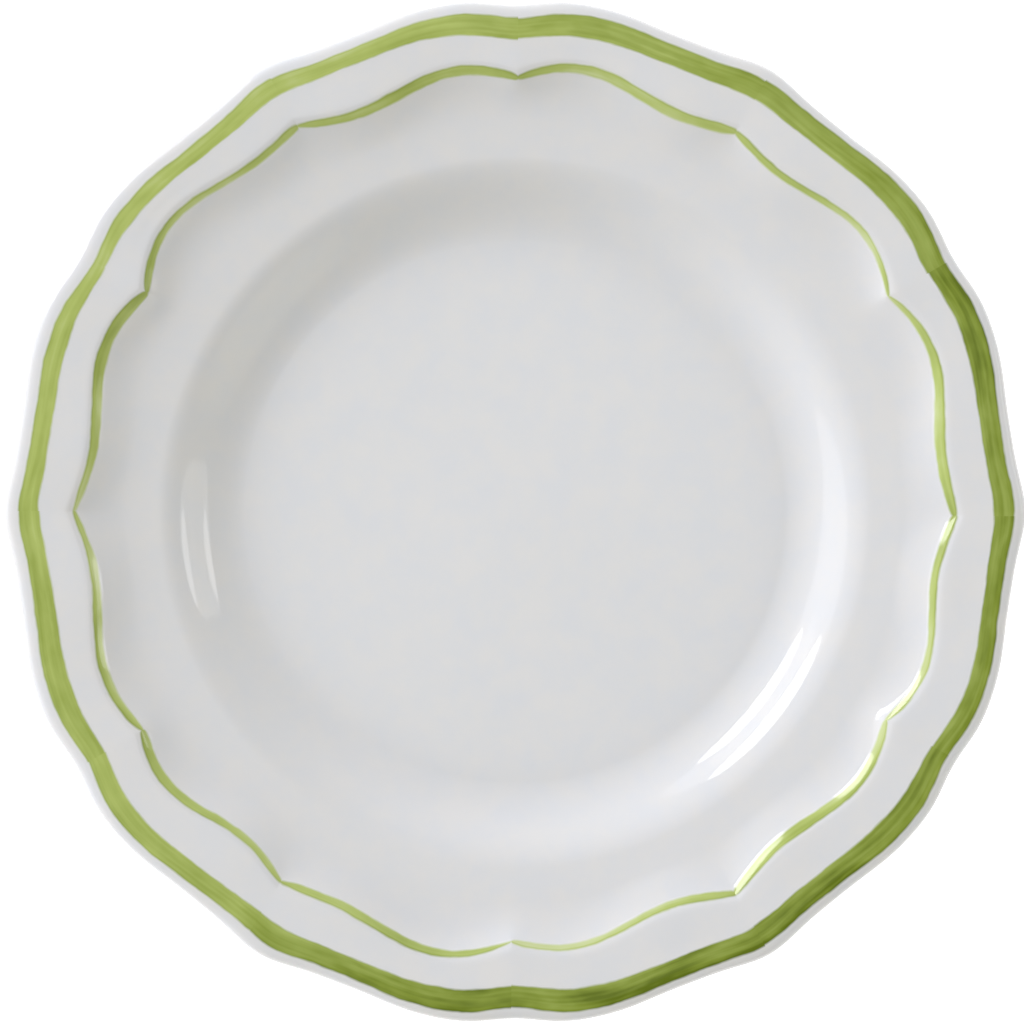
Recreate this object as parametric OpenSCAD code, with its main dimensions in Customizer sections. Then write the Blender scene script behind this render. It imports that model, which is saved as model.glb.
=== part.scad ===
// Dinner plate with a six-lobed accolade rim: a fired clay body on a turned foot ring,
// a coat of white glaze that stops at the bare tread, and green brush strokes on the glaze.
// The origin is the centre of the foot's tread, +Z is up, and +X points at a lobe's outward point.

/* [Outline] */
// Mean radius of the lobed rim
rim_r = 131.9; // [130:0.1:134]
// Swing of the rim's wave with 6 crests, negative to pull the outward points in
wave_6 = -0.7; // [-1:0.1:0]
// Swing of the rim's wave with 12 crests
wave_12 = 0.3; // [0:0.1:0.6]
// Swing of the rim's wave with 18 crests, which makes the humps beside each point
wave_18 = 0.9; // [0.4:0.1:1.2]
// Swing of the rim's wave with 30 crests, which sharpens the notches
wave_30 = 0.2; // [0:0.1:0.4]
// Swing of the rim's wave with 42 crests
wave_42 = 0.1; // [0:0.1:0.2]

/* [Profile] */
// Radius of the flat floor of the well
floor_r = 70.8; // [68:0.1:72]
// Height of the floor's middle above the table
floor_z = 7.65; // [7:0.05:9]
// How far the floor falls from its middle to the foot of the wall
floor_crown = 0.15; // [0:0.05:0.6]
// Radius where the wall of the well is steepest
steep_r = 82.7; // [80:0.1:86]
// Radius of the shoulder where the wall meets the flange
shoulder_r = 93; // [91:0.1:94]
// Rise of the wall from the floor to the shoulder
wall_rise = 9.7; // [9:0.1:11]
// How much the wall swells: 1 is steep from its foot on, -1 starts out flat
wall_swell = 0.35; // [-1:0.05:1]
// Slope of the flange
flange_slope = 0.1; // [0.08:0.01:0.16]
// Radius where the cove that carries the painted line starts to rise
cove_r = 101.5; // [100:0.5:103]
// Radius where the cove is steepest
cove_steep_r = 112.8; // [110:0.1:114]
// Radius of the top of the cove
cove_top_r = 115.8; // [114.5:0.1:118]
// Rise of the cove
cove_rise = 4.3; // [3.5:0.1:4.8]
// Slope of the border outside the cove
border_slope = 0.05; // [0.02:0.01:0.08]
// Thickness of the plate at its wall, glaze included
wall_t = 5; // [4.5:0.1:5.5]
// Thickness of the plate near its rim, glaze included
rim_t = 4.2; // [3.8:0.1:4.8]
// Width of the round-over on the top of the rim
roll_w = 3.9; // [3:0.1:4.5]

/* [Foot] */
// Height of the foot ring below the body's underside
foot_h = 2.5; // [2:0.1:3]
// Radius of the inner edge of the tread
tread_in_r = 72; // [71:0.1:73]
// Radius of the outer edge of the tread
tread_out_r = 75; // [74:0.1:75.4]
// Height of the bare clay edge that the glaze stops above
bare_h = 0.6; // [0.4:0.1:0.8]

/* [Decoration] */
// Thickness of the glaze coat
glaze_t = 0.3; // [0.2:0.05:0.4]
// Thickness of the colour in the middle of a stroke
paint_t = 0.12; // [0.08:0.01:0.2]
// Mean radius of the thin painted line
line_r = 113.2; // [112.8:0.1:113.6]
// Widest part of a stroke of the thin line
line_w = 2.1; // [1.6:0.1:2.4]
// How far the line's cusps stand out at the points and in at the notches
line_cusp = 1.2; // [0.8:0.1:1.6]
// Swing of the S-shaped stroke between two cusps
line_sway = 2.7; // [2:0.1:3]
// Mean radius of the broad painted band
band_r = 126.3; // [125.5:0.1:126.8]
// Widest part of the band
band_w = 5.4; // [4.5:0.1:6]

/* [Hidden] */
LOBES = 6;
HALF_LOBE = 180 / LOBES;
STROKES = 2 * LOBES;
STROKE_STEPS = 8;
STEPS = STROKES * STROKE_STEPS;
STEP_ANGLE = 360 / STEPS;

// Where the floor starts to fall towards the wall
CROWN_R = 45;
// How far in from the rim the lobes fade to the round well
LOBE_START_R = 95;
LOBE_FULL_R = 109;
// Between these radii the relief turns from the line's course to the rim's outline
LINE_END_R = 116;
BORDER_END_R = 124;
RIM_FULL_R = 128;

ROLL_R = rim_r - roll_w;
ROLL_SHARE = 0.55;
UNDER_ROLL_W = 3.2;
FOOT_DRAFT = 0.6;
FOOT_BED = 1;
FOOT_ROOT_R = tread_out_r + 2 * FOOT_DRAFT;
UNDER_FLAT_R = FOOT_ROOT_R + 1.2;
GLAZE_END_R = FOOT_ROOT_R + 0.3;
COVE_SWELL = 0;
STROKE_END = 0.4;
BAND_END = 0.85;
SLOPE_STEP = 0.01;
FOOT_FN = 180;

function two_digits(n) = str(n < 10 ? "0" : "", n);
BAND_NODES = [for (n = [1 : STROKES]) str("band_stroke_", two_digits(n))];
LINE_NODES = [for (n = [1 : STROKES]) str("line_stroke_", two_digits(n))];

// A smooth step from 0 at a to 1 at b
function ease(x, a, b) = let (t = min(1, max(0, (x - a) / (b - a)))) t * t * (3 - 2 * t);

// The height gained by r on a slope that grows from 0 at a to 1 at b and stays there
function ramp(r, a, b) = r < a ? 0 : r < b ? (r - a) * (r - a) / (2 * (b - a)) : r - (a + b) / 2;

// The angle from the nearest outward point, 0 at the points and HALF_LOBE at the notches
function from_point(angle) = abs((angle + HALF_LOBE) % (2 * HALF_LOBE) - HALF_LOBE);

// How far the painted line stands out from its mean radius
function line_swing(angle) =
    let (f = from_point(angle) / HALF_LOBE)
    line_cusp * (1 - 2 * f) - line_sway * sin(360 * f);

// How far the rim stands out from its mean radius
function rim_swing(angle) =
    wave_6 * cos(6 * angle) + wave_12 * cos(12 * angle) + wave_18 * cos(18 * angle)
    + wave_30 * cos(30 * angle) + wave_42 * cos(42 * angle);

// The true radius of profile radius r: round at the well, lobed like the line and then the rim
function lobed(r, angle) =
    r
    + line_swing(angle) * ease(r, LOBE_START_R, LOBE_FULL_R) * (1 - ease(r, LINE_END_R, BORDER_END_R))
    + rim_swing(angle) * ease(r, LINE_END_R, RIM_FULL_R);

// Height of a hollow rise: its slope grows from foot to steep and falls off again by top
function hollow_rise(r, foot, steep, top, height, swell) =
    let (
        width = steep - foot,
        slope = height / (width * ((1 + swell) / 2 - swell / 3) + (top - steep) * 2 / 3),
        below = min(max(r, foot), steep) - foot,
        above = min(max(r, steep), top) - steep
    )
    slope * ((1 + swell) * below * below / (2 * width) - swell * pow(below, 3) / (3 * width * width)
        + above - pow(above, 3) / (3 * pow(top - steep, 2)));

// Drop of the round-over at the rim, a quarter of an ellipse
function roll_drop(r) =
    let (t = min(1, max(0, (r - ROLL_R) / roll_w)))
    rim_t * ROLL_SHARE * (1 - sqrt(1 - t * t));

// Height of the glazed face at profile radius r
function face_z(r) =
    floor_z
    - floor_crown * ease(r, CROWN_R, floor_r)
    + hollow_rise(r, floor_r, steep_r, shoulder_r, wall_rise, wall_swell)
    + flange_slope * ramp(r, steep_r, shoulder_r)
    + hollow_rise(r, cove_r, cove_steep_r, cove_top_r, cove_rise, COVE_SWELL)
    - (flange_slope - border_slope) * ramp(r, cove_steep_r, cove_top_r)
    - roll_drop(r);

// A profile point on the face: radius, height, and the outward normal's two parts
function face_point(r) =
    let (
        m = (face_z(r + SLOPE_STEP) - face_z(r - SLOPE_STEP)) / (2 * SLOPE_STEP),
        d = sqrt(1 + m * m)
    )
    [r, face_z(r), -m / d, 1 / d];

// The matching point on the underside, one thickness down along the normal
function under_point(r) =
    let (
        p = face_point(r),
        t = wall_t + (rim_t - wall_t) * ease(r, shoulder_r, cove_r)
    )
    [p[0] - p[2] * t, p[1] - p[3] * t, -p[2], -p[3]];

// Rings on the face from the floor outwards, as a radius and the shares of the line's
// and the band's half width that are added to it, so that rings run along the strokes
WELL_RINGS = 6;
FLANGE_RINGS = 2;
FACE_RINGS = concat(
    [for (i = [0 : WELL_RINGS]) [floor_r + (shoulder_r - floor_r) * pow(i / WELL_RINGS, 0.8), 0, 0]],
    [for (i = [1 : FLANGE_RINGS]) [shoulder_r + (cove_r - shoulder_r) * i / FLANGE_RINGS, 0, 0]],
    [[(cove_r + line_r) / 2, 0, 0], [line_r, -1, 0], [line_r, 1, 0]],
    [[cove_top_r, 0, 0], [(cove_top_r + band_r) / 2, 0, 0], [band_r, 0, -1], [band_r, 0, 1]],
    [for (t = [35, 57, 75]) [ROLL_R + roll_w * sin(t), 0, 0]]
);
LINE_RING = WELL_RINGS + FLANGE_RINGS + 2;
BAND_RING = LINE_RING + 4;

// Rings round the edge and back along the underside to the foot
EDGE_Z = face_z(ROLL_R) - rim_t * ROLL_SHARE;
UNDER_ROLL_H = rim_t * (1 - ROLL_SHARE);
UNDER_RINGS = concat(
    [for (t = [0, 40, 80])
        [rim_r - UNDER_ROLL_W * (1 - cos(t)), EDGE_Z - UNDER_ROLL_H * sin(t), cos(t), -sin(t)]],
    [for (r = [121, 115, 109, 101.5, 92, 86, 80]) under_point(r)],
    [[UNDER_FLAT_R, foot_h - glaze_t, 0, -1], [GLAZE_END_R, foot_h - glaze_t, 0, -1]]
);
FACE_COUNT = len(FACE_RINGS);
RINGS = FACE_COUNT + len(UNDER_RINGS);

// A stroke is full in its middle and thins towards the cusps
function fullness(angle, at_end) =
    at_end + (1 - at_end) * sqrt(max(0, sin(180 * from_point(angle) / HALF_LOBE)));

function ring_point(k, angle) =
    k >= FACE_COUNT ? UNDER_RINGS[k - FACE_COUNT]
    : face_point(
        FACE_RINGS[k][0]
        + FACE_RINGS[k][1] * line_w / 2 * fullness(angle, STROKE_END)
        + FACE_RINGS[k][2] * band_w / 2 * fullness(angle, BAND_END)
    );

// The point of ring k at an angle, raised by lift from the outer skin of the glaze
function skin_point(k, angle, lift) =
    let (
        p = ring_point(k, angle),
        r = lobed(p[0] + p[2] * lift, angle)
    )
    [r * cos(angle), r * sin(angle), p[1] + p[3] * lift];

// The centre of the face and every ring, at one depth
function skin(lift) = concat(
    [[0, 0, floor_z + lift]],
    [for (k = [0 : RINGS - 1]) for (i = [0 : STEPS - 1]) skin_point(k, i * STEP_ANGLE, lift)]
);

function ring_index(k, i) = 1 + k * STEPS + i % STEPS;

// Triangles of a skin whose points start at index base, seen from outside
function skin_faces(base) = concat(
    [for (i = [0 : STEPS - 1]) [base, base + ring_index(0, i + 1), base + ring_index(0, i)]],
    [for (k = [0 : RINGS - 2]) for (i = [0 : STEPS - 1]) each [
        [base + ring_index(k, i), base + ring_index(k, i + 1), base + ring_index(k + 1, i)],
        [base + ring_index(k, i + 1), base + ring_index(k + 1, i + 1), base + ring_index(k + 1, i)]
    ]]
);

function turned_over(faces) = [for (f = faces) [f[2], f[1], f[0]]];

SKIN_COUNT = 1 + RINGS * STEPS;
LAST = RINGS - 1;

// The fired clay: the outer skin less the glaze, closed under the floor, on its foot ring
module clay_body() {
    color("#e9dcc6") {
        polyhedron(
            concat(skin(-glaze_t), [[0, 0, foot_h]]),
            concat(
                skin_faces(0),
                [for (i = [0 : STEPS - 1]) [SKIN_COUNT, ring_index(LAST, i), ring_index(LAST, i + 1)]]
            )
        );
        rotate_extrude($fn = FOOT_FN)
            polygon([
                [tread_in_r - 2 * FOOT_DRAFT, foot_h + FOOT_BED],
                [tread_in_r - 2 * FOOT_DRAFT, foot_h],
                [tread_in_r - FOOT_DRAFT, bare_h],
                [tread_in_r, 0],
                [tread_out_r, 0],
                [tread_out_r + FOOT_DRAFT, bare_h],
                [FOOT_ROOT_R, foot_h],
                [FOOT_ROOT_R, foot_h + FOOT_BED]
            ]);
    }
}

// The glaze over the face, round the rim, along the underside and down the foot's outer flank
module face_glaze() {
    color("#f4f4f1") {
        polyhedron(
            concat(skin(0), skin(-glaze_t)),
            concat(
                skin_faces(0),
                turned_over(skin_faces(SKIN_COUNT)),
                [for (i = [0 : STEPS - 1]) each [
                    [ring_index(LAST, i), ring_index(LAST, i + 1), SKIN_COUNT + ring_index(LAST, i)],
                    [ring_index(LAST, i + 1), SKIN_COUNT + ring_index(LAST, i + 1),
                        SKIN_COUNT + ring_index(LAST, i)]
                ]]
            )
        );
        rotate_extrude($fn = FOOT_FN)
            polygon([
                [FOOT_ROOT_R, foot_h],
                [tread_out_r + FOOT_DRAFT, bare_h],
                [tread_out_r + FOOT_DRAFT + glaze_t, bare_h],
                [FOOT_ROOT_R + glaze_t, foot_h - glaze_t],
                [GLAZE_END_R + 0.4, foot_h - glaze_t],
                [GLAZE_END_R + 0.4, foot_h]
            ]);
    }
}

// The glaze inside the foot ring: its inner flank and the recessed disc
module foot_glaze() {
    color("#f0efe9")
        rotate_extrude($fn = FOOT_FN)
            polygon([
                [0, foot_h],
                [0, foot_h - glaze_t],
                [tread_in_r - 2 * FOOT_DRAFT - glaze_t, foot_h - glaze_t],
                [tread_in_r - FOOT_DRAFT - glaze_t, bare_h],
                [tread_in_r - FOOT_DRAFT, bare_h],
                [tread_in_r - 2 * FOOT_DRAFT, foot_h]
            ]);
}

// Stroke n of the colour between ring k and the next, from one cusp to the next
module stroke(n, k) {
    start = (n - 1) * STROKE_STEPS;
    count = STROKE_STEPS + 1;
    // The four corners of the section at step i: inner and outer edge, under and on top
    function corner(side, top, i) =
        let (angle = (start + i) * STEP_ANGLE)
        skin_point(k + side, angle, top * paint_t * fullness(angle, STROKE_END));
    function at(side, top, i) = (2 * side + top) * count + i;
    function strip(a, b) = [for (i = [0 : STROKE_STEPS - 1]) each [
        [at(a[0], a[1], i), at(a[0], a[1], i + 1), at(b[0], b[1], i)],
        [at(a[0], a[1], i + 1), at(b[0], b[1], i + 1), at(b[0], b[1], i)]
    ]];
    polyhedron(
        [for (side = [0, 1]) for (top = [0, 1]) for (i = [0 : STROKE_STEPS]) corner(side, top, i)],
        concat(
            strip([0, 1], [1, 1]),
            turned_over(strip([0, 0], [1, 0])),
            strip([1, 1], [1, 0]),
            turned_over(strip([0, 1], [0, 0])),
            [[at(0, 0, 0), at(0, 1, 0), at(1, 1, 0), at(1, 0, 0)]],
            [[at(1, 0, STROKE_STEPS), at(1, 1, STROKE_STEPS), at(0, 1, STROKE_STEPS), at(0, 0, STROKE_STEPS)]]
        )
    );
}

module band_stroke(n) {
    color("#9fb858") stroke(n, BAND_RING);
}

module line_stroke(n) {
    color("#a3b566") stroke(n, LINE_RING);
}

clay_body();
face_glaze();
foot_glaze();
for (n = [1 : STROKES]) {
    band_stroke(n);
    line_stroke(n);
}
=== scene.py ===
import math

import bpy
import numpy as np
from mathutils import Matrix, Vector


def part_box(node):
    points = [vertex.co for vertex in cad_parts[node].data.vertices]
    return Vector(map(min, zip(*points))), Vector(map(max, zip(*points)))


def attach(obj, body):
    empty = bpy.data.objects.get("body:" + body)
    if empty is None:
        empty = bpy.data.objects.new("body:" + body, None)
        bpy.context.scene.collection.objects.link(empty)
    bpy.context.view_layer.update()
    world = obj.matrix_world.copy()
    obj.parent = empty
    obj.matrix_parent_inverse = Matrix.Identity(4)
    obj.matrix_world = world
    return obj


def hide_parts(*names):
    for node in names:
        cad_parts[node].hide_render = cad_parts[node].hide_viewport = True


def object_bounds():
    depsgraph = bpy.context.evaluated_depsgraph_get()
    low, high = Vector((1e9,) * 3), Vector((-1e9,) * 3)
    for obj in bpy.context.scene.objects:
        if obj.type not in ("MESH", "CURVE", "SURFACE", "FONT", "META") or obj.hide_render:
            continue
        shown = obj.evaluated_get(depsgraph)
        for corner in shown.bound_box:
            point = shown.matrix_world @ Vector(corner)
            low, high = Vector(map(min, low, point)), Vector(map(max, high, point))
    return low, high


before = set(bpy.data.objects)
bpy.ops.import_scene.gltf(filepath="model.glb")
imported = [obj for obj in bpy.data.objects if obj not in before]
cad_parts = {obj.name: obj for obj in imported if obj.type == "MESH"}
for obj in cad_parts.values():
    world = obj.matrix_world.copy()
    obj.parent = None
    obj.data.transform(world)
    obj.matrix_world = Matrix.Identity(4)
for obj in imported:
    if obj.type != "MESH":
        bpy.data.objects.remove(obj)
cad_low, cad_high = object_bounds()

# ---------------------------------------------------------------------------------------------
# Camera. The plate lies on a table and is looked at from straight above with a long lens, so
# the whole outline just fills the frame.
mm = 0.001
lens_focal = 200
sensor_width = 36
frame_share = 0.9988
frame_shift_x = -0.7 * mm
frame_shift_y = 0.1 * mm

plate_width = cad_high[0] - cad_low[0]
eye_distance = plate_width / frame_share * lens_focal / sensor_width
eye_data = bpy.data.cameras.new("overhead_camera")
eye_data.lens = lens_focal
eye_data.sensor_width = sensor_width
eye_data.clip_end = 20
eye = bpy.data.objects.new("overhead_camera", eye_data)
eye.location = (frame_shift_x, frame_shift_y, cad_high[2] + eye_distance)
bpy.context.scene.collection.objects.link(eye)
bpy.context.scene.camera = eye

# ---------------------------------------------------------------------------------------------
# Clay body. A pressed and turned blank of white clay, fired to a cream biscuit: a flat well, a
# hollow wall, a flange with a cove and a lobed, rounded rim, all on a turned foot ring.
glaze_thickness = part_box("clay_body")[0][0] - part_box("face_glaze")[0][0]
foot_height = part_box("foot_glaze")[1][2]
bare_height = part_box("foot_glaze")[0][2]
cusp_count = 12
half_lobe = math.radians(360 / cusp_count)
# Height of each wave of the rim's outline, by how many crests it has round the plate
rim_waves = {6: -0.7 * mm, 12: 0.3 * mm, 18: 0.9 * mm, 30: 0.2 * mm, 42: 0.1 * mm}
rim_radius = cad_high[0] - sum(rim_waves.values())

well_centre_radius = 8 * mm
floor_radius = 70.8 * mm
floor_crown = 0.15 * mm
crown_radius = 45 * mm
wall_steep_radius = 82.7 * mm
shoulder_radius = 93 * mm
wall_rise = 9.7 * mm
wall_swell = 0.35
flange_slope = 0.1
cove_radius = 101.5 * mm
cove_steep_radius = 112.8 * mm
cove_top_radius = 115.8 * mm
cove_rise = 4.3 * mm
cove_swell = 0
border_slope = 0.05
wall_thickness = 5 * mm
rim_thickness = 4.2 * mm
roll_width = 3.9 * mm
roll_share = 0.55
under_roll_width = 3.2 * mm
under_outer_radius = 124 * mm
under_inner_radius = 80 * mm
lobe_start_radius = 95 * mm
lobe_full_radius = 109 * mm
line_end_radius = 116 * mm
border_end_radius = 124 * mm
rim_full_radius = 128 * mm
line_cusp = 1.2 * mm
line_sway = 2.7 * mm
line_radius = 113.2 * mm
cusp_rounding = 0.05
cusp_round_radius = 100 * mm
roll_radius = rim_radius - roll_width

tread_inner_radius = 72 * mm
tread_outer_radius = 75 * mm
foot_draft = 0.6 * mm
tread_round = 0.35 * mm
tread_corner = tread_round * 0.4
foot_root_radius = tread_outer_radius + 2 * foot_draft
under_flat_radius = foot_root_radius + 1.2 * mm
sharp_edge = math.radians(50)

# How far the hand-trimmed turns of the cove's crest lie beyond each twelfth of the circle, in
# degrees, and how far outside its mean line they and the middles between them lie, in millimetres
line_slips = (-0.5, 0, -0.2, -0.4, -0.6, -0.8, -0.1, 0.4, -2.3, -0.4, 0, 0.7)
turn_drifts = (0.0, 0.1, -0.2, 0.8, 0.6, -0.6, 0.1, 0.1, -0.7, -0.4, 0.1, -1.4)
middle_drifts = (1.0, 0.8, 0.9, -0.1, 2.1, -0.6, -1.0, -1.0, 1.1, -1.6, -1.5, -1.0)


def ease(x, a, b):
    # A smooth step from 0 at a to 1 at b
    t = np.clip((x - a) / (b - a), 0, 1)
    return t * t * (3 - 2 * t)


def through_three(values, share):
    # A smooth run through a start, a middle and an end value
    start, middle, end = values
    return (
        start * (1 - share) * (1 - 2 * share)
        + middle * 4 * share * (1 - share)
        + end * share * (2 * share - 1)
    )


def line_slip(angle):
    turns = half_lobe * np.arange(cusp_count) + np.radians(line_slips)
    return np.interp(angle, turns, np.radians(line_slips), period=2 * math.pi)


def line_drift(angle):
    along = ((angle - line_slip(angle)) / half_lobe) % cusp_count
    number = np.floor(along).astype(int) % cusp_count
    starts = np.array(turn_drifts)
    ends = np.roll(starts, -1)
    middles = np.array(middle_drifts)
    return through_three((starts[number], middles[number], ends[number]), along % 1) * mm


def ramp(r, a, b):
    # Level up to a, then bending smoothly into a slope of one by b
    return np.where(r < a, 0, np.where(r < b, (r - a) ** 2 / (2 * (b - a)), r - (a + b) / 2))


def hollow_rise(r, foot, steep, top, height, swell):
    # A wall that steepens from its foot, is steepest at "steep" and levels out at its top
    width = steep - foot
    slope = height / (width * ((1 + swell) / 2 - swell / 3) + (top - steep) * 2 / 3)
    below = np.clip(r, foot, steep) - foot
    above = np.clip(r, steep, top) - steep
    lower = (1 + swell) * below ** 2 / (2 * width) - swell * below ** 3 / (3 * width ** 2)
    return slope * (lower + above - above ** 3 / (3 * (top - steep) ** 2))


def face_rise(r):
    roll = np.clip((r - roll_radius) / roll_width, 0, 1)
    return (
        -floor_crown * ease(r, crown_radius, floor_radius)
        + hollow_rise(r, floor_radius, wall_steep_radius, shoulder_radius, wall_rise, wall_swell)
        + flange_slope * ramp(r, wall_steep_radius, shoulder_radius)
        + hollow_rise(r, cove_radius, cove_steep_radius, cove_top_radius, cove_rise, cove_swell)
        - (flange_slope - border_slope) * ramp(r, cove_steep_radius, cove_top_radius)
        - rim_thickness * roll_share * (1 - np.sqrt(1 - roll ** 2))
    )


floor_height = cad_high[2] - face_rise(np.array(roll_radius))


def face_profile(r):
    # Radius, height and outward direction of points on the face
    step = 0.01 * mm
    upright = 1e4
    slope = (face_rise(r + step) - face_rise(r - step)) / (2 * step)
    slope = np.where(r > rim_radius - step, upright, slope)
    length = np.sqrt(1 + slope ** 2)
    return np.stack([r, floor_height + face_rise(r), -slope / length, 1 / length], axis=1)


def under_profile(r):
    p = face_profile(r)
    t = wall_thickness + (rim_thickness - wall_thickness) * ease(r, shoulder_radius, cove_radius)
    return np.stack([p[:, 0] - p[:, 2] * t, p[:, 1] - p[:, 3] * t, -p[:, 2], -p[:, 3]], axis=1)


def line_swing(angle, sharpness):
    # 0 at the rim's points and 1 at its notches; a sharpness under 1 rounds the turns off
    crest_turn = cusp_count / 2 * (angle - line_slip(angle))
    share = np.arccos(sharpness * np.cos(crest_turn)) / math.pi
    return line_cusp * (1 - 2 * share) - line_sway * np.sin(2 * math.pi * share)


def rim_swing(angle):
    return sum(size * np.cos(crests * angle) for crests, size in rim_waves.items())


def lobed(r, angle):
    # Where a point of the round blank comes to lie once the cove and the rim are lobed
    line_part = ease(r, lobe_start_radius, lobe_full_radius)
    line_part = line_part * (1 - ease(r, line_end_radius, border_end_radius))
    rim_part = ease(r, line_end_radius, rim_full_radius)
    sharpness = 1 - cusp_rounding * (1 - ease(r, cusp_round_radius, line_radius))
    line_move = line_swing(angle, sharpness) + line_drift(angle)
    return r + line_move * line_part + rim_swing(angle) * rim_part


def spread(a, b, count):
    return np.linspace(a, b, count, endpoint=False)


# Angles round the plate, closer together at the points and notches of the rim
steps_per_stroke = 36
cusp_crowding = 0.65


def crowded(turn):
    return turn - cusp_crowding * np.sin(2 * math.pi * turn) / (2 * math.pi)


turn = np.arange(cusp_count * steps_per_stroke) / steps_per_stroke
slips = np.interp(turn, np.arange(cusp_count), line_slips, period=cusp_count)
angles = half_lobe * crowded(turn) + np.radians(slips)


def outer_path(fine):
    # The same over the face, round the rim and back under; counts are of steps when fine is 1
    edge_height = floor_height + face_rise(np.array(roll_radius)) - rim_thickness * roll_share
    roll_turn = np.radians(spread(0, 90, int(12 * fine)))
    face = np.concatenate([
        spread(well_centre_radius, floor_radius, int(8 * fine)),
        spread(floor_radius, shoulder_radius, int(40 * fine)),
        spread(shoulder_radius, cove_radius, int(8 * fine)),
        spread(cove_radius, cove_top_radius, int(28 * fine)),
        spread(cove_top_radius, roll_radius, int(14 * fine)),
        roll_radius + roll_width * np.sin(roll_turn),
    ])
    under_turn = np.radians(np.linspace(0, 85, int(10 * fine)))
    under_roll = np.stack([
        rim_radius - under_roll_width * (1 - np.cos(under_turn)),
        edge_height - rim_thickness * (1 - roll_share) * np.sin(under_turn),
        np.cos(under_turn),
        -np.sin(under_turn),
    ], axis=1)
    under = under_profile(np.linspace(under_outer_radius, under_inner_radius, int(30 * fine)))
    return np.concatenate([face_profile(face), under_roll, under])


def foot_outer_path():
    # Rounded where the foot ring springs from the underside, then straight down its outer flank
    flat = foot_height - glaze_thickness
    return np.array([
        [under_flat_radius, flat, 0, -1],
        [foot_root_radius + 0.7 * mm, flat, 0.2, -0.98],
        [foot_root_radius + 0.3 * mm, flat - 0.12 * mm, 0.7, -0.7],
        [foot_root_radius + 0.02 * mm, flat - 0.5 * mm, 0.95, -0.3],
        [tread_outer_radius + foot_draft + glaze_thickness, bare_height, 0.95, -0.3],
    ])


def at_depth(path, depth):
    moved = path.copy()
    moved[:, 0] -= path[:, 2] * depth
    moved[:, 1] -= path[:, 3] * depth
    return moved


def lobed_rings(path):
    radius = lobed(path[:, 0][:, None], angles[None, :])
    height = np.repeat(path[:, 1][:, None], len(angles), axis=1)
    return np.stack([radius * np.cos(angles), radius * np.sin(angles), height], axis=2)


def closed_rings(name, rings, first_height, last_height):
    # A closed skin through rings of points, shut at both ends by a point on the plate's axis
    count, around = rings.shape[:2]
    verts = np.concatenate([
        [[0, 0, first_height]], rings.reshape(-1, 3), [[0, 0, last_height]],
    ])
    here = np.arange(around)
    there = (here + 1) % around
    faces = [(0, 1 + b, 1 + a) for a, b in zip(here.tolist(), there.tolist())]
    for k in range(count - 1):
        low = 1 + k * around
        high = low + around
        faces += list(zip(
            (low + here).tolist(), (low + there).tolist(),
            (high + there).tolist(), (high + here).tolist(),
        ))
    low = 1 + (count - 1) * around
    tip = len(verts) - 1
    faces += [(low + a, low + b, tip) for a, b in zip(here.tolist(), there.tolist())]
    mesh = bpy.data.meshes.new(name)
    mesh.from_pydata(verts.tolist(), [], faces)
    mesh.polygons.foreach_set("use_smooth", [True] * len(faces))
    mesh.set_sharp_from_angle(angle=sharp_edge)
    piece = bpy.data.objects.new(name, mesh)
    bpy.context.scene.collection.objects.link(piece)
    return piece


def new_material(name):
    material = bpy.data.materials.new(name)
    material.use_nodes = True
    material.node_tree.nodes.clear()
    output = material.node_tree.nodes.new("ShaderNodeOutputMaterial")
    shader = material.node_tree.nodes.new("ShaderNodeBsdfPrincipled")
    material.node_tree.links.new(shader.outputs["BSDF"], output.inputs["Surface"])
    return material, material.node_tree, shader


foot_ring_path = np.array([
    [under_flat_radius, foot_height, 0, -1],
    [foot_root_radius, foot_height, 0, -1],
    [tread_outer_radius + foot_draft, bare_height, 0.95, -0.3],
    [tread_outer_radius + tread_corner, tread_corner, 0.7, -0.7],
    [tread_outer_radius - tread_corner, 0, 0, -1],
    [tread_inner_radius + tread_corner, 0, 0, -1],
    [tread_inner_radius - tread_corner, tread_corner, -0.7, -0.7],
    [tread_inner_radius - foot_draft, bare_height, -0.95, -0.3],
    [tread_inner_radius - 2 * foot_draft, foot_height, 0, -1],
])
body_path = np.concatenate([at_depth(outer_path(fine=0.6), glaze_thickness), foot_ring_path])
body = closed_rings(
    "biscuit_body", lobed_rings(body_path), floor_height - glaze_thickness, foot_height
)

clay, clay_tree, clay_shader = new_material("cream_biscuit_clay")
clay_place = clay_tree.nodes.new("ShaderNodeTexCoord")
clay_grain = clay_tree.nodes.new("ShaderNodeTexNoise")
clay_grain.inputs["Scale"].default_value = 2600
clay_grain.inputs["Detail"].default_value = 4
clay_cloud = clay_tree.nodes.new("ShaderNodeTexNoise")
clay_cloud.inputs["Scale"].default_value = 90
clay_cloud.inputs["Detail"].default_value = 3
clay_colour = clay_tree.nodes.new("ShaderNodeValToRGB")
clay_colour.color_ramp.elements[0].position = 0.3
clay_colour.color_ramp.elements[0].color = (0.60, 0.49, 0.36, 1)
clay_colour.color_ramp.elements[1].position = 0.7
clay_colour.color_ramp.elements[1].color = (0.76, 0.67, 0.53, 1)
clay_bump = clay_tree.nodes.new("ShaderNodeBump")
clay_bump.inputs["Strength"].default_value = 0.5
clay_bump.inputs["Distance"].default_value = 0.08 * mm
for grain in (clay_grain, clay_cloud):
    clay_tree.links.new(clay_place.outputs["Object"], grain.inputs["Vector"])
clay_tree.links.new(clay_cloud.outputs["Fac"], clay_colour.inputs["Fac"])
clay_tree.links.new(clay_colour.outputs["Color"], clay_shader.inputs["Base Color"])
clay_tree.links.new(clay_grain.outputs["Fac"], clay_bump.inputs["Height"])
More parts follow.
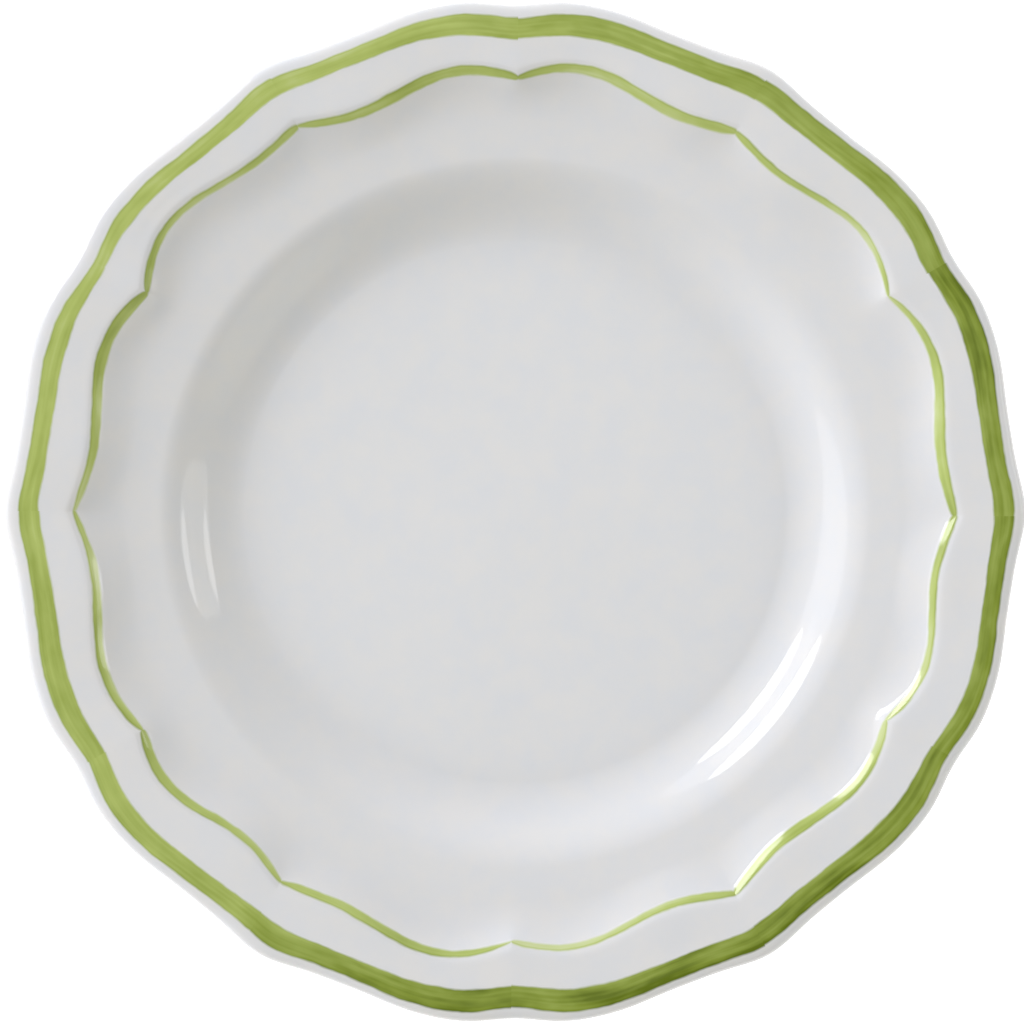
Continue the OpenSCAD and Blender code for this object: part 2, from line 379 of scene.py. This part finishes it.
clay_tree.links.new(clay_bump.outputs["Normal"], clay_shader.inputs["Normal"])
clay_shader.inputs["Roughness"].default_value = 0.85
body.data.materials.append(clay)

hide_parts("clay_body")
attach(body, "root")

# ---------------------------------------------------------------------------------------------
# Face glaze. The plate is dipped in white glaze, which melts into a glossy coat over the face,
# round the rim, along the underside and down the foot's outer flank to its bare edge.
coat_inner = np.concatenate([at_depth(outer_path(fine=0.3), glaze_thickness), np.array([
    [under_flat_radius, foot_height, 0, -1],
    [foot_root_radius, foot_height, 0, -1],
    [tread_outer_radius + foot_draft, bare_height, 0.95, -0.3],
])])
coat_path = np.concatenate([outer_path(fine=1), foot_outer_path(), coat_inner[::-1]])
coat = closed_rings(
    "face_glaze_coat", lobed_rings(coat_path), floor_height, floor_height - glaze_thickness
)


def glaze_group():
    group = bpy.data.node_groups.new("white_glaze_skin", "ShaderNodeTree")
    group.interface.new_socket("Color", in_out="OUTPUT", socket_type="NodeSocketColor")
    group.interface.new_socket("Normal", in_out="OUTPUT", socket_type="NodeSocketVector")
    nodes = group.nodes
    links = group.links
    output = nodes.new("NodeGroupOutput")
    place = nodes.new("ShaderNodeTexCoord")
    clouds = nodes.new("ShaderNodeTexNoise")
    clouds.inputs["Scale"].default_value = 110
    clouds.inputs["Detail"].default_value = 4
    clouds.inputs["Roughness"].default_value = 0.6
    tint = nodes.new("ShaderNodeValToRGB")
    tint.color_ramp.elements[0].position = 0.35
    tint.color_ramp.elements[0].color = (0.735, 0.75, 0.788, 1)
    tint.color_ramp.elements[1].position = 0.65
    tint.color_ramp.elements[1].color = (0.765, 0.765, 0.778, 1)
    peel = nodes.new("ShaderNodeTexNoise")
    peel.inputs["Scale"].default_value = 160
    peel.inputs["Detail"].default_value = 1.5
    bump = nodes.new("ShaderNodeBump")
    bump.inputs["Strength"].default_value = 0.12
    bump.inputs["Distance"].default_value = 0.1 * mm
    for texture in (clouds, peel):
        links.new(place.outputs["Object"], texture.inputs["Vector"])
    links.new(clouds.outputs["Fac"], tint.inputs["Fac"])

    # Painted shade: the colour is made a little darker and warmer over the wall, the flange and
    # the rim than in the well, easing in from 60 mm to 95 mm from the middle
    flat_place = nodes.new("ShaderNodeVectorMath")
    flat_place.operation = "MULTIPLY"
    flat_place.inputs[1].default_value = (1, 1, 0)
    links.new(place.outputs["Object"], flat_place.inputs[0])
    from_middle = nodes.new("ShaderNodeVectorMath")
    from_middle.operation = "LENGTH"
    links.new(flat_place.outputs["Vector"], from_middle.inputs[0])
    outer_shade_part = nodes.new("ShaderNodeMapRange")
    outer_shade_part.interpolation_type = "SMOOTHSTEP"
    outer_shade_part.inputs["From Min"].default_value = 60 * mm
    outer_shade_part.inputs["From Max"].default_value = 95 * mm
    links.new(from_middle.outputs["Value"], outer_shade_part.inputs["Value"])
    # Painted shade: a darker, warmer multiply that grows towards the rim
    outer_shade_tint = nodes.new("ShaderNodeMix")
    outer_shade_tint.data_type = "RGBA"
    outer_shade_tint.blend_type = "MULTIPLY"
    outer_shade_tint.inputs["B"].default_value = (0.978, 0.972, 0.965, 1)
    links.new(outer_shade_part.outputs["Result"], outer_shade_tint.inputs["Factor"])
    links.new(tint.outputs["Color"], outer_shade_tint.inputs["A"])
    links.new(outer_shade_tint.outputs["Result"], output.inputs["Color"])

    links.new(peel.outputs["Fac"], bump.inputs["Height"])
    links.new(bump.outputs["Normal"], output.inputs["Normal"])
    return group


glaze_skin = glaze_group()
glaze, glaze_tree, glaze_shader = new_material("glossy_white_glaze")
glaze_look = glaze_tree.nodes.new("ShaderNodeGroup")
glaze_look.node_tree = glaze_skin
glaze_tree.links.new(glaze_look.outputs["Color"], glaze_shader.inputs["Base Color"])
glaze_tree.links.new(glaze_look.outputs["Normal"], glaze_shader.inputs["Normal"])
glaze_shader.inputs["Roughness"].default_value = 0.05
glaze_shader.inputs["IOR"].default_value = 1.5
coat.data.materials.append(glaze)

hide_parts("face_glaze")
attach(coat, "root")

# ---------------------------------------------------------------------------------------------
# Foot glaze. The same white glaze inside the foot ring: it covers the recessed disc under the
# well, pools in the corner and stops on the ring's inner flank just above the bare tread.
recess = foot_height - glaze_thickness
inner_flank = tread_inner_radius - 2 * foot_draft
disc_inner_ring = 20 * mm
disc_outer_ring = 45 * mm
# Out across the disc, rounding the corner, down the flank, and back against the clay
foot_coat_path = np.array([
    [disc_inner_ring, recess, 0, -1],
    [disc_outer_ring, recess, 0, -1],
    [inner_flank - 1.2 * mm, recess, 0, -1],
    [inner_flank - 0.6 * mm, recess - 0.12 * mm, -0.4, -0.9],
    [inner_flank - 0.25 * mm, recess - 0.6 * mm, -0.8, -0.4],
    [tread_inner_radius - foot_draft - glaze_thickness, bare_height, -0.9, -0.4],
    [tread_inner_radius - foot_draft, bare_height, 0.9, 0.4],
    [inner_flank, foot_height, 0, 1],
    [disc_outer_ring, foot_height, 0, 1],
])
foot_coat = closed_rings(
    "foot_glaze_coat", lobed_rings(foot_coat_path[::-1]), foot_height, recess
)
foot_coat.data.materials.append(glaze)

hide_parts("foot_glaze")
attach(foot_coat, "root")

# ---------------------------------------------------------------------------------------------
# Band strokes. Twelve broad strokes of green enamel pulled one after another round the border
# with a loaded brush: each starts light and watery and ends where the colour pools.
band_radius = 126.3 * mm
band_margin = 0.6 * mm
band_tip = 1
band_steps_across = 17
# For each stroke, in millimetres and shares: how far its start, middle and end lie outside the
# mean radius, their widths, how loaded the brush is along it, and how the colour leans outwards
band_strokes = (
    ((0.0, 0.3, 0.5), (5.8, 6.2, 6.0), (0.62, 0.66, 0.76, 0.82, 0.80), 0.10),
    ((0.2, 0.8, -0.2), (6.2, 6.5, 6.3), (0.66, 0.58, 0.58, 0.54, 0.56), 0.14),
    ((-0.4, 0.1, -0.7), (6.1, 6.2, 6.0), (0.56, 0.53, 0.50, 0.47, 0.43), 0.05),
    ((-0.7, 0.2, -0.4), (6.6, 5.1, 5.2), (0.42, 0.39, 0.35, 0.32, 0.33), -0.08),
    ((-0.3, -0.6, -0.7), (5.4, 5.0, 3.9), (0.31, 0.31, 0.30, 0.36, 0.33), -0.18),
    ((-0.8, -0.7, -0.7), (4.0, 5.5, 5.5), (0.31, 0.32, 0.34, 0.36, 0.38), -0.10),
    ((-0.9, -0.8, -0.2), (5.6, 6.4, 5.8), (0.36, 0.40, 0.44, 0.42, 0.42), -0.05),
    ((-0.4, 0.5, -0.8), (5.7, 5.7, 6.1), (0.38, 0.40, 0.44, 0.46, 0.52), 0.08),
    ((-0.7, 0.6, -0.2), (6.1, 6.1, 6.3), (0.54, 0.62, 0.70, 0.80, 0.76), 0.18),
    ((-0.4, 0.6, 0.1), (6.3, 6.3, 6.1), (0.70, 0.78, 0.86, 0.82, 0.80), 0.20),
    ((-0.1, 0.3, 0.4), (6.0, 6.5, 5.7), (0.79, 0.76, 0.74, 0.76, 0.76), 0.16),
    ((0.5, 0.9, 0.1), (5.4, 5.2, 5.9), (0.71, 0.70, 0.73, 0.72, 0.66), 0.05),
)
paint_lift = 0.05 * mm
paint_bed = 0.08 * mm
paint_edge_sink = 0.01 * mm
paint_edge_rise = 2.2
rim_clearance = 0.4 * mm
taper_length = 4 * mm


def along_list(values, share):
    return np.interp(share, np.linspace(0, 1, len(values)), values)


def stroke_piece(name, number, radius, margin, tip, stroke, steps_across):
    # One thin closed skin that lies on the glaze from one cusp to the next
    drift, widths, loads, lean = stroke
    share = crowded(np.arange(steps_per_stroke + 1) / steps_per_stroke)
    slip = line_slips[number] * (1 - share) + line_slips[(number + 1) % cusp_count] * share
    angle = half_lobe * (number + share) + np.radians(slip)
    course = radius + through_three(drift, share) * mm
    end_gap = np.minimum(share, 1 - share) * half_lobe * radius
    taper = tip + (1 - tip) * np.sqrt(np.clip(end_gap / taper_length, 0, 1))
    half_width = through_three(widths, share) * mm / 2 * taper
    across = np.linspace(-1, 1, steps_across)
    reach = (half_width + margin)[None, :] * across[:, None]
    path = np.minimum(course[None, :] + reach, rim_radius - rim_clearance)
    profile = face_profile(path.ravel())
    rise = paint_lift * np.minimum(1, paint_edge_rise * (1 - np.abs(across)))[:, None]
    rise = np.repeat(rise, len(share), axis=1) - paint_edge_sink

    def layer(lift):
        r = profile[:, 0].reshape(reach.shape) + profile[:, 2].reshape(reach.shape) * lift
        z = profile[:, 1].reshape(reach.shape) + profile[:, 3].reshape(reach.shape) * lift
        r = lobed(r, angle[None, :])
        return np.stack([r * np.cos(angle), r * np.sin(angle), z], axis=2)

    top = layer(rise)
    bed = layer(np.full(reach.shape, -paint_bed))
    rows, columns = reach.shape
    size = rows * columns
    index = np.arange(size).reshape(rows, columns)
    faces = []
    for i in range(rows - 1):
        for j in range(columns - 1):
            quad = (index[i, j], index[i + 1, j], index[i + 1, j + 1], index[i, j + 1])
            faces.append(tuple(int(q) for q in quad))
            faces.append(tuple(int(size + q) for q in quad[::-1]))
    border = list(index[0, :-1]) + list(index[:-1, -1])
    border += list(index[-1, :0:-1]) + list(index[:0:-1, 0])
    for a, b in zip(border, border[1:] + border[:1]):
        faces.append((int(a), int(b), int(b + size), int(a + size)))
    mesh = bpy.data.meshes.new(name)
    verts = np.concatenate([top.reshape(-1, 3), bed.reshape(-1, 3)])
    mesh.from_pydata(verts.tolist(), [], faces)
    mesh.polygons.foreach_set("use_smooth", [True] * len(faces))
    mesh.set_sharp_from_angle(angle=sharp_edge)

    # What the enamel needs to know at each point: how far inside the stroke it lies, how loaded
    # the brush was there, and how far along and across the stroke it is
    load = along_list(loads, share)[None, :] * (1 + lean * across)[:, None]
    facts = {
        "inside": half_width[None, :] - np.abs(reach),
        "load": load,
        "travel": np.repeat((angle * radius)[None, :], rows, axis=0),
        "offset": reach,
    }
    for fact, values in facts.items():
        column = mesh.attributes.new(fact, "FLOAT", "POINT")
        column.data.foreach_set("value", np.tile(values.ravel(), 2).astype(np.float32))
    piece = bpy.data.objects.new(name, mesh)
    bpy.context.scene.collection.objects.link(piece)
    return piece


enamel, enamel_tree, enamel_shader = new_material("green_brushed_enamel")
enamel_nodes = enamel_tree.nodes
enamel_links = enamel_tree.links


def read_fact(name):
    node = enamel_nodes.new("ShaderNodeAttribute")
    node.attribute_name = name
    return node.outputs["Fac"]


def calculate(operation, *values, clamp=False):
    node = enamel_nodes.new("ShaderNodeMath")
    node.operation = operation
    node.use_clamp = clamp
    for socket, value in zip(node.inputs, values):
        if isinstance(value, (int, float)):
            socket.default_value = value
        else:
            enamel_links.new(value, socket)
    return node.outputs[0]


def brush_noise(along, across, detail):
    # Unevenness drawn out along the stroke; along and across say how fine it is, per metre
    place = enamel_nodes.new("ShaderNodeCombineXYZ")
    enamel_links.new(calculate("MULTIPLY", read_fact("travel"), along), place.inputs["X"])
    enamel_links.new(calculate("MULTIPLY", read_fact("offset"), across), place.inputs["Y"])
    noise = enamel_nodes.new("ShaderNodeTexNoise")
    noise.inputs["Scale"].default_value = 1
    noise.inputs["Detail"].default_value = detail
    enamel_links.new(place.outputs["Vector"], noise.inputs["Vector"])
    return noise.outputs["Fac"]


wander_width = 0.8 * mm
cover_width = 0.6 * mm
streak_strength = 0.8
pool_strength = 0.9
dark_edge_depth = 0.5 * mm
dark_edge_width = 0.4 * mm
dark_edge_load = 0.12

bristle_streaks = brush_noise(along=30, across=800, detail=1)
slow_pooling = brush_noise(along=90, across=250, detail=2)
edge_wander = brush_noise(along=150, across=300, detail=2)
wander = calculate("MULTIPLY", calculate("SUBTRACT", edge_wander, 0.5), wander_width)
depth_in = calculate("ADD", read_fact("inside"), wander)
cover = calculate("DIVIDE", depth_in, cover_width, clamp=True)
streak_lean = calculate("SUBTRACT", bristle_streaks, 0.5)
streak = calculate("MULTIPLY_ADD", streak_lean, streak_strength, 1)
pool_lean = calculate("SUBTRACT", slow_pooling, 0.5)
pool = calculate("MULTIPLY_ADD", pool_lean, pool_strength, 1)
brushed = calculate("MULTIPLY", read_fact("load"), calculate("MULTIPLY", streak, pool))

# A thin darker line runs just inside the stroke's outer edge
from_edge = calculate("ABSOLUTE", calculate("SUBTRACT", depth_in, dark_edge_depth))
edge_fade = calculate("DIVIDE", from_edge, dark_edge_width)
edge_share = calculate("SUBTRACT", 1, edge_fade, clamp=True)
outer_side = calculate("GREATER_THAN", read_fact("offset"), 0)
outer_share = calculate("MULTIPLY", edge_share, outer_side)
dark_edge = calculate("MULTIPLY", outer_share, dark_edge_load)
density = calculate("ADD", brushed, dark_edge, clamp=True)
pigment = enamel_nodes.new("ShaderNodeValToRGB")
pigment.color_ramp.elements[0].position = 0
pigment.color_ramp.elements[0].color = (0.72, 0.75, 0.62, 1)
pigment.color_ramp.elements[1].position = 1
pigment.color_ramp.elements[1].color = (0.125, 0.175, 0.012, 1)
for load, colour in (
    (0.15, (0.60, 0.67, 0.34, 1)),
    (0.30, (0.46, 0.55, 0.16, 1)),
    (0.50, (0.33, 0.41, 0.09, 1)),
    (0.75, (0.23, 0.30, 0.04, 1)),
):
    stop = pigment.color_ramp.elements.new(load)
    stop.color = colour
enamel_links.new(density, pigment.inputs["Fac"])
enamel_skin = enamel_nodes.new("ShaderNodeGroup")
enamel_skin.node_tree = glaze_skin
enamel_mix = enamel_nodes.new("ShaderNodeMix")
enamel_mix.data_type = "RGBA"
enamel_links.new(cover, enamel_mix.inputs["Factor"])
enamel_links.new(enamel_skin.outputs["Color"], enamel_mix.inputs["A"])
enamel_links.new(pigment.outputs["Color"], enamel_mix.inputs["B"])
enamel_links.new(enamel_mix.outputs["Result"], enamel_shader.inputs["Base Color"])
enamel_links.new(enamel_skin.outputs["Normal"], enamel_shader.inputs["Normal"])
enamel_shader.inputs["Roughness"].default_value = 0.07
enamel_shader.inputs["IOR"].default_value = 1.5

for number, stroke in enumerate(band_strokes):
    band = stroke_piece(
        f"band_brushstroke_{number + 1:02d}", number, band_radius, band_margin, band_tip,
        stroke, band_steps_across
    )
    band.data.materials.append(enamel)
    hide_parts(f"band_stroke_{number + 1:02d}")
    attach(band, "root")

# ---------------------------------------------------------------------------------------------
# Line strokes. Twelve thin S-shaped strokes of the same green along the crest of the cove, drawn
# with a fine brush from cusp to cusp, thinning out at both ends.
line_margin = 0.4 * mm
line_tip = 0.6
line_steps_across = 11
# For each stroke: its widths in millimetres, how loaded the brush is along it, and how the colour
# leans outwards; its course is the crest's own, which already drifts. The low load a quarter of
# the way along the seventh stroke is painted highlight, paling the line where the glaze's gleam
# washes over it; the one a quarter of the way along the twelfth is partly painted highlight and
# partly the paint's own paler stretch
line_course = (0, 0, 0)
line_strokes = (
    ((2.8, 3.3, 1.7), (0.48, 0.27, 0.30, 0.36, 0.18), 0.3),
    ((2.0, 2.3, 2.6), (0.36, 0.19, 0.30, 0.36, 0.36), 0.3),
    ((2.9, 3.3, 2.4), (0.30, 0.27, 0.27, 0.27, 0.39), 0.1),
    ((2.8, 3.3, 2.2), (0.42, 0.27, 0.36, 0.30, 0.29), 0.1),
    ((2.8, 2.3, 2.9), (0.34, 0.30, 0.23, 0.33, 0.45), 0.2),
    ((3.3, 3.3, 1.9), (0.45, 0.45, 0.39, 0.30, 0.19), 0.1),
    ((2.0, 2.9, 2.4), (0.36, 0.17, 0.36, 0.33, 0.36), 0.3),
    ((3.2, 2.8, 2.2), (0.43, 0.36, 0.36, 0.27, 0.30), 0.2),
    ((2.2, 2.9, 1.5), (0.39, 0.27, 0.42, 0.42, 0.23), 0.2),
    ((2.2, 2.3, 2.8), (0.17, 0.17, 0.25, 0.27, 0.39), 0.2),
    ((2.8, 3.3, 2.4), (0.33, 0.33, 0.36, 0.33, 0.24), 0.3),
    ((2.3, 2.4, 2.8), (0.27, 0.19, 0.27, 0.36, 0.47), 0.3),
)

for number, stroke in enumerate(line_strokes):
    line = stroke_piece(
        f"line_brushstroke_{number + 1:02d}", number, line_radius, line_margin, line_tip,
        (line_course, *stroke), line_steps_across
    )
    line.data.materials.append(enamel)
    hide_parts(f"line_stroke_{number + 1:02d}")
    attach(line, "root")

# ---------------------------------------------------------------------------------------------
# Table. A wide, plain, near-white table top under the plate, which fades into a white room.
table_radius = 9
table_corners = 64
table_turn = [2 * math.pi * i / table_corners for i in range(table_corners)]
table_mesh = bpy.data.meshes.new("table_top")
table_mesh.from_pydata(
    [(table_radius * math.cos(t), table_radius * math.sin(t), 0) for t in table_turn],
    [],
    [tuple(range(table_corners))],
)
table = bpy.data.objects.new("table_top", table_mesh)
bpy.context.scene.collection.objects.link(table)
table_paint, table_tree, table_shader = new_material("white_table_paint")
table_grain = table_tree.nodes.new("ShaderNodeTexNoise")
table_grain.inputs["Scale"].default_value = 300
table_tint = table_tree.nodes.new("ShaderNodeValToRGB")
table_tint.color_ramp.elements[0].color = (0.90, 0.90, 0.90, 1)
table_tint.color_ramp.elements[1].color = (0.93, 0.93, 0.93, 1)
table_tree.links.new(table_grain.outputs["Fac"], table_tint.inputs["Fac"])
table_tree.links.new(table_tint.outputs["Color"], table_shader.inputs["Base Color"])
table_shader.inputs["Roughness"].default_value = 0.9
table_shader.inputs["Emission Color"].default_value = (1, 1, 1, 1)
table_shader.inputs["Emission Strength"].default_value = 0.6
table.data.materials.append(table_paint)

# ---------------------------------------------------------------------------------------------
# Light. A bright window strip at the upper left with a dim sill and a broad panel round it, a
# panel with a narrow slit at the right, and a white room that is brightest a little above the
# table, with a warm glow low down at the lower right.
bpy.context.scene.view_settings.view_transform = "Standard"
light_distance = 2.5


def soft_box(name, azimuth, elevation, wide, high, strength, colour=(1, 1, 1)):
    # Its place, width and height are angles in degrees; the strength is its radiance
    data = bpy.data.lights.new(name, "AREA")
    data.shape = "ELLIPSE"
    data.size = 2 * light_distance * math.tan(math.radians(wide / 2))
    data.size_y = 2 * light_distance * math.tan(math.radians(high / 2))
    data.energy = strength * math.pi * (math.pi / 4 * data.size * data.size_y)
    data.color = colour
    box = bpy.data.objects.new(name, data)
    turn_to = math.radians(azimuth)
    tilt = math.radians(elevation)
    aim = Vector((
        math.cos(tilt) * math.cos(turn_to), math.cos(tilt) * math.sin(turn_to), math.sin(tilt),
    ))
    box.location = aim * light_distance
    box.rotation_euler = aim.to_track_quat("Z", "Y").to_euler()
    box.visible_camera = False
    bpy.context.scene.collection.objects.link(box)


cool_daylight = (0.98, 0.98, 1.03)
soft_box("window_strip", azimuth=142, elevation=28, wide=28, high=8, strength=9)
soft_box("window_sill", azimuth=144, elevation=20.5, wide=38, high=10, strength=0.7)
soft_box(
    "window_panel", azimuth=158, elevation=20, wide=95, high=24, strength=1.1,
    colour=cool_daylight,
)
soft_box("right_panel", azimuth=5, elevation=24, wide=26, high=16, strength=1.1)
soft_box("right_slit", azimuth=8, elevation=28.5, wide=15, high=5, strength=2.4)

room = bpy.data.worlds.new("white_room")
bpy.context.scene.world = room
room.use_nodes = True
room_nodes = room.node_tree.nodes
room_links = room.node_tree.links
room_place = room_nodes.new("ShaderNodeTexCoord")
room_split = room_nodes.new("ShaderNodeSeparateXYZ")
room_links.new(room_place.outputs["Generated"], room_split.inputs["Vector"])
room_turn = room_nodes.new("ShaderNodeMath")
room_turn.operation = "ARCTAN2"
room_links.new(room_split.outputs["Y"], room_turn.inputs[0])
room_links.new(room_split.outputs["X"], room_turn.inputs[1])
room_round = room_nodes.new("ShaderNodeMapRange")
room_round.inputs["From Min"].default_value = -math.pi
room_round.inputs["From Max"].default_value = math.pi
room_links.new(room_turn.outputs[0], room_round.inputs["Value"])


warm_red = 0.25


def room_ramp(source, stops):
    # Warmth takes blue away and adds a quarter as much red
    ramp_node = room_nodes.new("ShaderNodeValToRGB")
    ramp_node.color_ramp.interpolation = "EASE"
    elements = ramp_node.color_ramp.elements
    elements[0].position = stops[0][0]
    elements[1].position = stops[-1][0]
    for stop in stops[1:-1]:
        elements.new(stop[0])
    for element, (place, level, warmth) in zip(elements, stops):
        element.color = (level * (1 + warmth * warm_red), level, level * (1 - warmth), 1)
    room_links.new(source, ramp_node.inputs["Fac"])
    return ramp_node.outputs["Color"]


# Place, brightness and warmth by height, from the skirting to the ceiling, and by direction,
# from the left round by the near side, the right and the far side
by_height = room_ramp(room_split.outputs["Z"], (
    (0, 0.3, 0), (0.1, 0.4, 0), (0.24, 0.98, 0), (0.37, 1, 0), (0.49, 0.9, 0), (0.61, 0.58, 0),
    (0.75, 0.42, 0), (0.89, 0.33, 0), (1, 0.44, 0),
))
by_direction = room_ramp(room_round.outputs["Result"], (
    (0, 0.7, 0), (0.083, 0.74, 0), (0.167, 0.5, 0.02), (0.25, 0.17, 0.15), (0.42, 0.12, 0.3),
    (0.5, 0.3, 0.1), (0.583, 0.42, 0.02), (0.667, 0.5, 0), (0.75, 0.56, -0.02),
    (0.833, 0.46, -0.02), (0.917, 0.58, 0), (1, 0.7, 0),
))
room_blend = room_nodes.new("ShaderNodeVectorMath")
room_blend.operation = "MULTIPLY"
room_links.new(by_height, room_blend.inputs[0])
room_links.new(by_direction, room_blend.inputs[1])

# The glow fades out from its heart to its edge, as angles from its middle
glow_turn = math.radians(322)
glow_tilt = math.radians(17)
glow_edge = math.radians(25)
glow_heart = math.radians(6)
glow_level = 0.58
glow_facing = room_nodes.new("ShaderNodeVectorMath")
glow_facing.operation = "DOT_PRODUCT"
glow_facing.inputs[1].default_value = (
    math.cos(glow_tilt) * math.cos(glow_turn),
    math.cos(glow_tilt) * math.sin(glow_turn),
    math.sin(glow_tilt),
)
room_links.new(room_place.outputs["Generated"], glow_facing.inputs[0])
glow_fade = room_nodes.new("ShaderNodeMapRange")
glow_fade.interpolation_type = "SMOOTHSTEP"
glow_fade.inputs["From Min"].default_value = math.cos(glow_edge)
glow_fade.inputs["From Max"].default_value = math.cos(glow_heart)
glow_fade.inputs["To Max"].default_value = glow_level
room_links.new(glow_facing.outputs["Value"], glow_fade.inputs["Value"])
room_sum = room_nodes.new("ShaderNodeVectorMath")
room_sum.operation = "ADD"
room_links.new(room_blend.outputs["Vector"], room_sum.inputs[0])
glow_colour = room_nodes.new("ShaderNodeVectorMath")
glow_colour.operation = "SCALE"
glow_colour.inputs[0].default_value = (1, 1, 0.9)
room_links.new(glow_fade.outputs["Result"], glow_colour.inputs["Scale"])
room_links.new(glow_colour.outputs["Vector"], room_sum.inputs[1])
room_links.new(room_sum.outputs["Vector"], room_nodes["Background"].inputs["Color"])

# The walls show less strongly in the glaze than the light they give, as if seen past a scrim
room_strength = 3.03
scrim_share = 0.55
room_path = room_nodes.new("ShaderNodeLightPath")
room_scrim = room_nodes.new("ShaderNodeMath")
room_scrim.operation = "MULTIPLY_ADD"
room_scrim.inputs[1].default_value = -scrim_share * room_strength
room_scrim.inputs[2].default_value = room_strength
room_links.new(room_path.outputs["Is Glossy Ray"], room_scrim.inputs[0])
room_links.new(room_scrim.outputs[0], room_nodes["Background"].inputs["Strength"])
